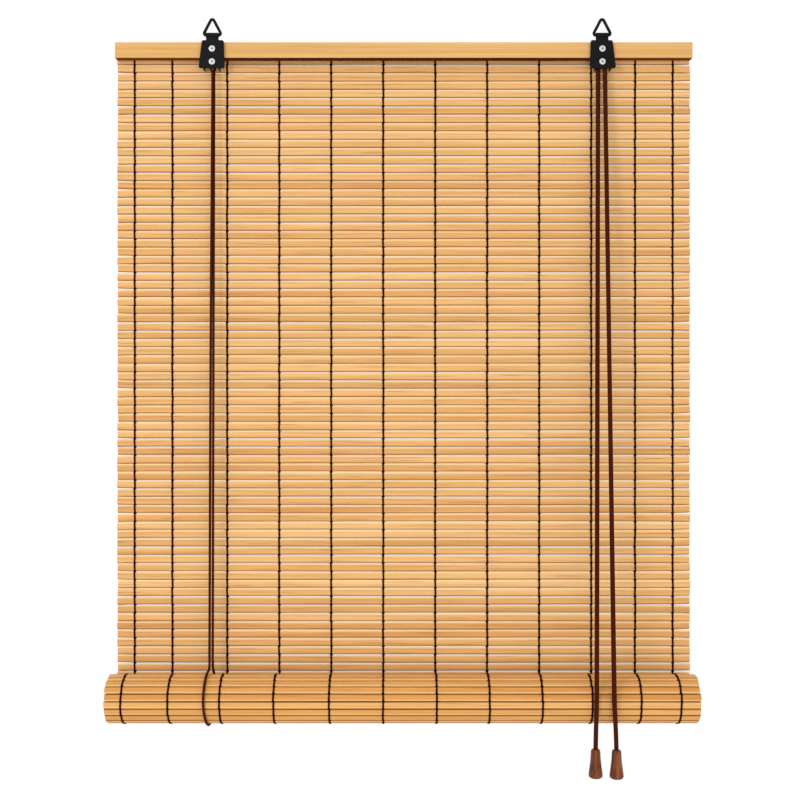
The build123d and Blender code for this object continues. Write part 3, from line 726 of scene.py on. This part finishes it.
# ---- curtain
@dataclass
class Curtain:
    """The hanging slats and the roll below them, one sheet held by twelve threads."""

    pitch: float = 8.709
    first_level: float = 0.22
    hanging: int = 78
    held: int = 5  # the top slats, which never reach the roll
    sheet_y: float = -5.0
    lines: tuple = (-282.0, -242.5, *(-185.0 + 54.5 * n for n in range(8)), 242.5, 282.0)
    roll_radius: float = 24.2
    roll_pitch: float = 7.35  # the slats lie closer in the roll
    roll_phase: float = 0.607  # the first one's middle, in pitches
    roll_tall: float = 0.84  # their height beside a hanging slat's
    drift: tuple = (-1.9, 5.8, 0.6, 0.4, 2.1, 1.9, 1.7, 0.4, -0.8, -5.0, -1.8, -1.1)
    turn_step: float = 2.55
    half_turns: int = 13
    roll_shift: float = -1.4
    rod_radius: float = 7.9
    rod_overhang: float = 0.5
    rod_bevel: float = 0.8
    roll_loose: float = 0.35  # how far a rolled slat may sit from true
    roll_threads: int = 24  # slats of the roll whose threads can be seen
    slat: Slat = field(default_factory=Slat)
    roll_slat: Slat = field(default_factory=lambda: Slat(length=601.5))
    thread: Thread = field(default_factory=Thread)

    def level(self, number: float) -> float:
        """The height of a hanging slat's middle."""
        return self.first_level - number * self.pitch

    def hanging_frames(self) -> list[Matrix]:
        """The frames of the hanging slats from the top, in metres."""
        return [Matrix.Translation(metres((0, self.sheet_y, self.level(n)))) for n in range(self.hanging)]

    @property
    def roll_start(self) -> float:
        """The angle at which the sheet meets the roll, from the wall side upwards."""
        return math.asin((self.level(self.hanging - 0.5) - ROLL_Z) / self.roll_radius)

    def rolled_frame(self, travelled: float) -> Matrix:
        """The frame of a rolled slat, in metres.

        Args:
            travelled: millimetres along the roll's sheet from where it leaves the hanging slats.

        Returns:
            The frame, X along the slat and Z up the sheet.
        """
        left = travelled
        for turn in range(self.half_turns):
            radius = self.roll_radius - turn * self.turn_step / 2
            first = self.roll_start if turn == 0 else 0.0
            room = radius * (math.pi + first)
            if left <= room or turn == self.half_turns - 1:
                break
            left -= room
        middle_y = ROLL_Y - (turn % 2) * self.turn_step / 2
        angle = (math.pi if turn % 2 else 0.0) + first - left / radius
        at = (self.roll_shift, middle_y + radius * math.cos(angle), ROLL_Z + radius * math.sin(angle))
        return Matrix.Translation(metres(at)) @ Matrix.Rotation(angle, 4, "X")

    @property
    def rolled(self) -> int:
        """How many slats lie in the roll."""
        radii = [self.roll_radius - n * self.turn_step / 2 for n in range(self.half_turns)]
        return int((math.pi * sum(radii) + self.roll_start * radii[0]) / self.roll_pitch)

    def roll_frames(self, count: int) -> list[Matrix]:
        """The frames of the roll's first slats."""
        return [self.rolled_frame((number + self.roll_phase) * self.roll_pitch) for number in range(count)]

    def build_slats(self, dice: random.Random) -> dict[str, Object]:
        """Builds the top, the field's and the roll's slats.

        Args:
            dice: the seeded source of each slat's differences.

        Returns:
            The pieces by name.
        """
        frames, rolled = self.hanging_frames(), self.roll_frames(self.rolled)
        hung = (self.slat, Finish.SLAT, 1.0, 1.0)
        wound = (self.roll_slat, Finish.SLAT_BACK, self.roll_loose, self.roll_tall)
        sheets = (
            ("top_bamboo", hung, 0, frames[: self.held]),
            ("field_bamboo", hung, self.held, frames[self.held :]),
            ("roll_bamboo", wound, self.hanging, rolled),
        )
        pieces = {}
        for name, (slat, finish, loose, tall), first, places in sheets:
            stack = SlatStack(slat)
            for number, at in enumerate(places, first):
                look = SlatLook.draw(dice, loose)
                look.tall *= tall
                stack.add(at, look, number)
            pieces[name] = stack.finish(name, finish.material)
        return pieces

    def build_threads(self, dice: random.Random) -> dict[str, Object]:
        """Builds the top, the field's and the roll's threads.

        Args:
            dice: the seeded source of each cell's sway.

        Returns:
            The pieces by name.
        """
        thread = self.thread
        face = self.slat.thickness / 2
        both = thread.template(face, self.pitch, True)
        behind = thread.template(face, self.roll_pitch, False)
        frames = self.hanging_frames()
        drifted = [line + off for line, off in zip(self.lines, self.drift)]
        rows = {
            "top_thread": (both, self.lines, frames[1 : self.held]),
            "field_thread": (both, self.lines, frames[self.held :]),
            "roll_thread": (behind, drifted, self.roll_frames(self.roll_threads)),
        }
        pieces = {}
        for name, (template, lines, frames) in rows.items():
            bm = bmesh.new()
            for line in lines:
                for at in frames:
                    wander = dice.uniform(-thread.wander, thread.wander)
                    flip = Matrix.Diagonal((-MM if dice.random() < thread.crossed else MM, MM, MM, 1))
                    stamp(bm, template, at @ Matrix.Translation(metres((line + wander, 0, 0))) @ flip)
            bmesh.ops.recalc_face_normals(bm, faces=bm.faces)
            pieces[name] = settle(bm, name, Finish.THREAD.material)
        return pieces

    def build_rod(self) -> Object:
        """Builds the round rod that the curtain is wound on."""
        length = (self.slat.length + 2 * self.rod_overhang) * MM
        radius = self.rod_radius * MM
        bm = bmesh.new()
        bmesh.ops.create_cone(bm, cap_ends=True, segments=40, radius1=radius, radius2=radius, depth=length)
        rims = [edge for edge in bm.edges if not edge.verts[0].co.z * edge.verts[1].co.z < 0]
        rounding = {"segments": 3, "profile": 0.5, "affect": "EDGES", "material": -1, "clamp_overlap": True}
        bmesh.ops.bevel(bm, geom=rims, offset=self.rod_bevel * MM, **rounding)
        bmesh.ops.rotate(bm, matrix=Matrix.Rotation(math.pi / 2, 3, "Y"), verts=bm.verts)
        middle = (self.roll_shift, ROLL_Y, ROLL_Z)
        bmesh.ops.translate(bm, vec=metres(middle), verts=bm.verts)
        return settle(bm, "winding_rod", Finish.ROD.material)

    def build(self, dice: random.Random) -> None:
        """Builds the whole curtain and hangs it on its bodies."""
        slats = self.build_slats(dice)
        threads = self.build_threads(dice)
        for part, body, node in (
            ("top", "headrail", "top_slats"),
            ("field", "headrail", "field_slats"),
            ("roll", "roll", "curtain_roll"),
        ):
            report(slats[f"{part}_bamboo"], body, "bamboo", node)
            report(threads[f"{part}_thread"], body, "warp_thread", f"{part}_warp")
        report(self.build_rod(), "roll", "rail_wood", "bottom_rail")
        top = self.level(self.held - 0.5)
        keep = 1 - LIFT_TRAVEL / (top - self.level(self.hanging - 0.5))
        for piece in (slats["field_bamboo"], threads["field_thread"]):
            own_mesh(piece)


# ---- cords
@dataclass(frozen=True)
class Braid:
    """How a cord is braided."""

    diameter: float
    strands: int  # strands that turn each way
    pitch: float  # along the cord, from one crown to the next but one
    sides: int
    step: float  # between two rings of the cord's mesh
    depth: float = 0.09  # of the radius
    level: float = 0.3  # the braid's height at the cord's own radius

    def height(self, turn: float, along: float) -> float:
        """How high the braid stands at a place, from 0 in a hollow to 1 on a crown.

        Args:
            turn: angle round the cord.
            along: millimetres along it.
        """
        run = 2 * math.pi * along / self.pitch
        left = math.cos(self.strands * turn + run)
        right = math.cos(self.strands * turn - run)
        return (max(left, right) + 1) / 2


REAR_CORD_Y = -2.45  # the rear cords hang this far from the wall plane
LIFT_BRAID = Braid(diameter=2.5, strands=3, pitch=2.6, sides=12, step=0.55)
PULL_BRAID = Braid(diameter=4.4, strands=4, pitch=3.6, sides=16, step=0.7)


def line_curve(kind: str, places: Sequence[Vector]) -> tuple[Curve, Spline]:
    """A curve and its one spline, of the given kind, with its points at places in metres."""
    curve = bpy.data.curves.new("line", "CURVE")
    curve.dimensions = "3D"
    spline = curve.splines.new(kind)
    spline.points.add(len(places) - 1)
    for knot, place in zip(spline.points, places):
        knot.co = (*place, 1.0)
    return curve, spline


def as_mesh(curve: Curve) -> Mesh:
    """A curve's mesh, in place of the curve."""
    holder = bpy.data.objects.new("line", curve)
    mesh = bpy.data.meshes.new_from_object(holder)
    bpy.data.objects.remove(holder)
    bpy.data.curves.remove(curve)
    return mesh


def as_tube(curve: Curve, radius: float, rounding: int) -> BMesh:
    """A round tube along a curve, with room for its braid's height at each vertex.

    Args:
        curve: the tube's middle line, which is used up.
        radius: the tube's, millimetres.
        rounding: the curve's bevel resolution.

    Returns:
        The tube's shape.
    """
    curve.bevel_depth = radius * MM
    curve.bevel_resolution = rounding
    mesh = as_mesh(curve)
    bm = bmesh.new()
    bm.verts.layers.float.new("braid")
    bm.from_mesh(mesh)
    bpy.data.meshes.remove(mesh)
    return bm


def spline_line(route: Sequence[Point], step: float) -> list[Vector]:
    """Reads back the smooth line that a NURBS route makes.

    Args:
        route: the route's points, millimetres.
        step: about how far apart the returned points are, millimetres.

    Returns:
        Evenly spaced points in metres.
    """
    curve, spline = line_curve("NURBS", [metres(point) for point in route])
    spline.order_u = 3
    spline.use_endpoint_u = True
    spline.resolution_u = 64
    mesh = as_mesh(curve)
    line = [vert.co.copy() for vert in mesh.vertices]
    bpy.data.meshes.remove(mesh)
    lengths = [0.0]
    for first, second in zip(line, line[1:]):
        lengths.append(lengths[-1] + (second - first).length)
    count = max(8, round(lengths[-1] / (step * MM)))
    spaced, n = [], 0
    for k in range(count + 1):
        at = lengths[-1] * k / count
        while n < len(line) - 2 and lengths[n + 1] < at:
            n += 1
        share = (at - lengths[n]) / max(lengths[n + 1] - lengths[n], 1e-12)
        spaced.append(line[n].lerp(line[n + 1], min(1.0, share)))
    return spaced


@dataclass
class Cord:
    """A run of braided cord between two places."""

    name: str
    route: Sequence[Point]
    braid: Braid
    finish: Finish
    line: list[Vector] = field(default_factory=list)

    def build(self) -> Object:
        """Builds the braided tube along the route's smooth line."""
        self.line = spline_line(self.route, self.braid.step)
        curve, _ = line_curve("POLY", self.line)
        bm = as_tube(curve, self.braid.diameter / 2, self.braid.sides // 2 - 2)
        bm.verts.ensure_lookup_table()
        layer = bm.verts.layers.float["braid"]
        sides = len(bm.verts) // len(self.line)
        if sides * len(self.line) != len(bm.verts):
            raise ValueError(f"{self.name}: the tube's rings don't match its line")
        step = (self.line[1] - self.line[0]).length / MM
        for ring, middle in enumerate(self.line):
            for side in range(sides):
                vert = bm.verts[ring * sides + side]
                height = self.braid.height(2 * math.pi * side / sides, ring * step)
                swell = 1 + self.braid.depth * (height - self.braid.level)
                vert.co = middle + (vert.co - middle) * swell
                vert[layer] = height
        bmesh.ops.holes_fill(bm, edges=[edge for edge in bm.edges if edge.is_boundary], sides=0)
        bmesh.ops.recalc_face_normals(bm, faces=bm.faces)
        return settle(bm, self.name, self.finish.material)


@dataclass
class LiftCords:
    """The cords that raise the roll.

    Three hang in front and two behind, one crosses under the rail, and loops pass round the roll.
    """

    loop_radius: float = 27.7  # of the loops' guide points, which the smooth line stays inside
    left_x: tuple = (-201.7, -200.6)  # a loop's place on the room side and on the wall side
    right_x: tuple = (210.3, 220.1)
    legs: tuple = (  # name, node, where it starts to shorten, and route
        ("left_lift_leg", "left_front_cord", -17.6, (
            (-202.25, -14.1, -17.6), (-199.0, -15.3, -19.8), (-198.9, -15.4, -34.0),
            (-200.52, -18.85, -330.0), (-201.0, -21.7, -635.7),
        )),
        ("left_stay_leg", "left_stay_cord", -17.6, (
            (-201.35, -10.1, -13.0), (-201.5, -10.1, -10.2), (-196.5, -10.1, -10.2), (-196.65, -10.1, -17.6),
            (-197.6, -13.0, -21.0), (-197.6, -13.1, -34.0), (-197.66, -17.5, -330.0), (-197.7, -21.7, -635.7),
        )),
        ("right_lift_leg", "right_front_cord", -17.6, (
            (209.45, -10.1, -17.6), (209.47, -11.1, -32.0), (210.29, -54.8, -652.9), (210.31, -55.88, -668.1),
        )),
        ("left_rear_leg", "left_rear_cord", -8.2, (
            (-200.6, REAR_CORD_Y, -669.95), (-200.6, REAR_CORD_Y, -655.0), (-200.6, REAR_CORD_Y, 0.8),
        )),
        ("right_rear_leg", "right_rear_cord", -8.2, (
            (220.1, REAR_CORD_Y, -669.95), (219.94, REAR_CORD_Y, -655.0), (212.9, REAR_CORD_Y, 0.8),
        )),
    )
    cross: tuple = (
        (-202.25, -14.1, -17.6), (-203.2, -14.1, -8.9), (-194.4, -14.1, -9.75), (-187.0, -14.1, -9.75),
        (194.2, -14.1, -9.75), (201.6, -14.1, -9.75), (210.4, -14.1, -8.9), (209.45, -14.1, -17.6),
    )
    left_start: tuple = ((-201.0, -21.7, -636.1), (-201.0, -21.7, -643.55))
    stay_end: tuple = ((-197.7, -21.7, -636.1), (-197.7, -21.7, -642.4), (-197.7, -7.8, -653.4))
    turn_run: tuple = (
        (209.45, -10.1, -17.6), (210.2, -10.1, -8.9), (202.2, -10.1, -8.9), (202.95, -10.1, -17.6),
    )

    def under_roll(self, ends: tuple[float, float], start: float, steps: int, slip: float) -> list[Point]:
        """The turn of a loop round the roll, from the room side down and back to the wall side.

        Args:
            ends: the loop's place along the roll, on the room side and on the wall side.
            start: the angle where it meets the roll, degrees from the wall side upwards.
            steps: how many steps the turn takes.
            slip: how far along the roll the loop has slipped under it.

        Returns:
            The loop's guide points.
        """
        front, rear = ends
        lean = math.atan2(rear - front, 2 * (REAR_CORD_Y - ROLL_Y))
        points = []
        for turn in (math.radians(start + (360.0 - start) * n / steps) for n in range(steps + 1)):
            y = self.loop_radius * math.cos(turn)
            z = self.loop_radius / math.cos(lean) * math.sin(turn)
            x = (front + rear) / 2 + y * math.tan(lean) + slip * max(0.0, -math.sin(turn))
            points.append((x, ROLL_Y + y, ROLL_Z + z))
        return points

    def build(self) -> None:
        """Builds every lift cord."""
        for name, node, top, route in self.legs:
            cord = Cord(name, route, LIFT_BRAID, Finish.LIFT)
            piece = report(cord.build(), "headrail", "lift_cord", node)
            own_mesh(piece)
        left = [*self.left_start, *self.under_roll(self.left_x, 90.0, 9, 1.8)]
        right = self.under_roll(self.right_x, 175.96, 7, 2.6)
        for name, node, body, route, long in (
            ("left_roll_loop", "left_lift_loop", "lift_loops", left, True),
            ("right_roll_loop", "right_lift_loop", "lift_loops", right, True),
            ("cross_lift_cord", "cross_cord", "headrail", self.cross, True),
            ("left_stay_end", "left_stay_tail", "lift_loops", self.stay_end, False),
            ("right_turn_run", "right_turn_cord", "headrail", self.turn_run, False),
        ):
            cord = Cord(name, route, LIFT_BRAID, Finish.LIFT)
            piece = report(cord.build(), body, "lift_cord", node)


@dataclass
class Tassel:
    """A turned wooden bell on the end of a pull cord, with the cord's knot inside."""

    side: str
    x: float
    y: float
    top: float = -714.45
    outline: tuple = (  # height below the top and radius, bored for the cord
        (0.0, 2.6), (0.0, 3.4), (0.5, 4.15), (1.5, 4.65), (3.0, 4.8), (7.0, 4.98), (12.0, 5.4), (17.0, 5.98),
        (21.5, 6.6), (24.0, 6.95), (25.4, 7.1), (26.6, 7.05), (27.7, 6.6), (28.4, 5.6), (28.6, 4.4),
        (28.6, 3.75), (19.6, 3.7), (19.6, 2.6),
    )
    bore: float = 19.6  # from the top to the knot's seat
    knot_radius: float = 3.3
    knot_cord: float = 1.7
    knot_wide: tuple = (0.837, 0.465)  # the knot's middle line: its mean radius, and how far it swings
    knot_rise: float = 1.1
    knot_points: int = 12
    fibre: float = 0.8  # of the knot's rough surface

    def build(self) -> Object:
        """Turns the bell round its own axis."""
        bm = bmesh.new()
        verts = [bm.verts.new(metres((self.x + r, self.y, self.top - z))) for z, r in self.outline]
        edges = [bm.edges.new(pair) for pair in zip(verts, verts[1:] + verts[:1])]
        turn = {"axis": (0, 0, 1), "angle": 2 * math.pi, "steps": 44, "use_merge": True}
        bmesh.ops.spin(bm, geom=verts + edges, cent=metres((self.x, self.y, 0)), **turn)
        bmesh.ops.remove_doubles(bm, verts=bm.verts, dist=1e-6)
        bmesh.ops.recalc_face_normals(bm, faces=bm.faces)
        return settle(bm, f"{self.side}_wood_bell", Finish.WALNUT.material)

    def build_knot(self) -> Object:
        """Ties the overhand knot under the bell's bore."""
        mean, swing = self.knot_wide
        middle = (self.x, self.y, self.top - self.bore - self.knot_radius)
        places = []
        for t in (2 * math.pi * n / self.knot_points for n in range(self.knot_points)):
            wide = mean + swing * math.cos(3 * t)
            off = (wide * math.cos(2 * t), wide * math.sin(2 * t), self.knot_rise * math.sin(3 * t))
            places.append(metres([a + b for a, b in zip(middle, off)]))
        curve, spline = line_curve("NURBS", places)
        spline.use_cyclic_u = True
        spline.order_u = 3
        bm = as_tube(curve, self.knot_cord, 3)
        layer = bm.verts.layers.float["braid"]
        for vert in bm.verts:
            vert[layer] = 0.5 + 0.5 * noise.noise(vert.co / (self.fibre * MM))
        bmesh.ops.remove_doubles(bm, verts=bm.verts, dist=MERGE)
        bmesh.ops.recalc_face_normals(bm, faces=bm.faces)
        return settle(bm, f"{self.side}_end_knot", Finish.PULL.material)


@dataclass
class Pull:
    """A pull cord with its tassel."""

    side: str
    upper: Sequence[Point]  # the long run's guide points
    lower: Sequence[Point]  # the tail's, down to where it enters the tassel
    tassel: Tassel
    inside: tuple = (-710.05, -734.05)  # where the tail hangs straight, and where it ends
    top: float = -17.6
    split: float = -660.85

    def build(self) -> None:
        """Builds the cord's two runs, the bell and the knot."""
        side, hook = self.side, self.tassel
        body = f"{side}_pull"
        bell = report(hook.build(), body, "walnut", f"{side}_tassel")
        knot = report(hook.build_knot(), body, "pull_cord", f"{side}_tassel_knot")
        run = Cord(f"{side}_pull_run", self.upper, PULL_BRAID, Finish.PULL)
        piece = report(run.build(), "headrail", "pull_cord", f"{side}_pull_cord")
        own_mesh(piece)
        route = [*self.lower, *((hook.x, hook.y, z) for z in self.inside)]
        end = Cord(f"{side}_pull_end", route, PULL_BRAID, Finish.PULL)
        tail = end.build()
        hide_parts(f"{side}_pull_tail")
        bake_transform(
            tail,
            "lift_loops",
            body,
            start=metres((hook.x, hook.y, self.split - 1.0)),
            end=metres((hook.x, hook.y, hook.top + 2.0)),
        )
        log.info("%s bends between lift_loops and %s", tail.name, body)


# ---- what the part already shapes
class Fittings:
    """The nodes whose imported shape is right, which get their finish here."""

    finishes = {
        Finish.RAIL: ("head_rail",),
        Finish.BATTEN: ("back_batten",),
        # the strip under the rail is painted shade standing in for the rail's shaded underside
        Finish.SHADE_TAPE: ("rail_tape",),
        Finish.BLACK: (
            "left_cover_plate", "left_pulley_frame", "left_ring_strap", "left_hanging_ring",
            "right_cover_plate", "right_pulley_frame", "right_ring_strap", "right_hanging_ring",
        ),
        Finish.ZINC: (
            "rail_nails", "left_rail_screw", "left_pulley_axle", "right_rail_screw", "right_pulley_axle",
        ),
        Finish.NYLON: ("left_pulley", "right_front_pulley", "right_rear_pulley"),
    }

    def dress(self) -> None:
        """Gives every kept node its material."""
        for finish, names in self.finishes.items():
            for name in names:
                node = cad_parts[name]
                node.data.materials.clear()
                node.data.materials.append(finish.material)
                log.info("%s keeps its shape, in %s", name, finish.material.name)


# ---- studio
@dataclass
class Studio:
    """Pale floor, white surroundings, soft lights and the camera, in metres."""

    floor_z: float = -2.1  # under the tassels when the roll is right up
    floor_half: float = 14.0
    speckle: Point = (3.0, 3.0, 3.0)  # millimetres
    eye: Point = (-0.0039, -1.195, -0.36425)
    lens: float = 51.03
    sensor: float = 36.0
    aim: Point = (0.0, 0.0, -0.35)
    lights: tuple = (  # name, place, side and watts
        ("key", (-1.5, -1.9, 0.5), 0.6, 12.0),
        ("fill", (0.4, -2.0, -0.9), 1.2, 5.0),
    )
    surround: float = 1.0

    def soft_light(self, name: str, at: Point, size: float, power: float) -> None:
        """Adds a square soft light that points at the blind.

        Args:
            name: the light's name.
            at: where it stands.
            size: its side.
            power: watts.
        """
        data = bpy.data.lights.new(name, "AREA")
        data.shape = "SQUARE"
        data.size = size
        data.energy = power
        lamp = bpy.data.objects.new(name, data)
        lamp.location = at
        lamp.rotation_euler = (Vector(self.aim) - Vector(at)).to_track_quat("-Z", "Y").to_euler()
        bpy.context.scene.collection.objects.link(lamp)

    def build(self) -> None:
        """Builds the floor, the surroundings, the lights and the camera."""
        bm = bmesh.new()
        bmesh.ops.create_grid(bm, x_segments=1, y_segments=1, size=self.floor_half)
        bmesh.ops.translate(bm, vec=(0, 0, self.floor_z), verts=bm.verts)
        material, tree, place = new_material("matt_white_floor")
        speckle = blotches(tree, place, self.speckle)
        matt = {"Base Color": linear("FFFFFF"), "Roughness": 1.0, "Specular IOR Level": 0.0}
        coat(tree, speckle, 0.0, matt)
        settle(bm, "floor", material, False)
        world = bpy.data.worlds.new("studio")
        world.use_nodes = True
        background = world.node_tree.nodes["Background"].inputs
        background["Color"].default_value = linear("FFFFFF")
        background["Strength"].default_value = self.surround
        bpy.context.scene.world = world
        for light in self.lights:
            self.soft_light(*light)
        data = bpy.data.cameras.new("camera")
        data.sensor_width = self.sensor
        data.lens = self.lens
        camera = bpy.data.objects.new("camera", data)
        camera.location = self.eye
        camera.rotation_euler = (math.pi / 2, 0, 0)
        bpy.context.scene.collection.objects.link(camera)
        bpy.context.scene.camera = camera
        bpy.context.scene.view_settings.view_transform = "Standard"


def main() -> None:
    """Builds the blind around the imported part."""
    logging.basicConfig(level=logging.INFO, format="%(name)s: %(message)s")
    Studio().build()
    LiftCords().build()
    pulls = (
        Pull(
            "left",
            (
                (202.95, -10.7, -17.6), (202.57, -12.6, -44.0),
                (193.96, -55.16, -637.0), (193.62, -56.88, -660.5),
            ),
            ((193.62, -56.88, -660.8), (193.5, -57.45, -668.85)),
            Tassel("left", 192.3, -57.45),
        ),
        Pull(
            "right",
            (
                (209.45, -14.1, -17.6), (209.51, -15.95, -44.0),
                (210.83, -57.57, -637.0), (210.88, -59.24, -660.5),
            ),
            ((210.88, -59.24, -660.8), (210.9, -59.8, -668.85)),
            Tassel("right", 212.9, -59.8),
        ),
    )
    for pull in pulls:
        pull.build()
    Curtain().build(random.Random(7))
    Fittings().dress()


if __name__ == "__main__":
    main()
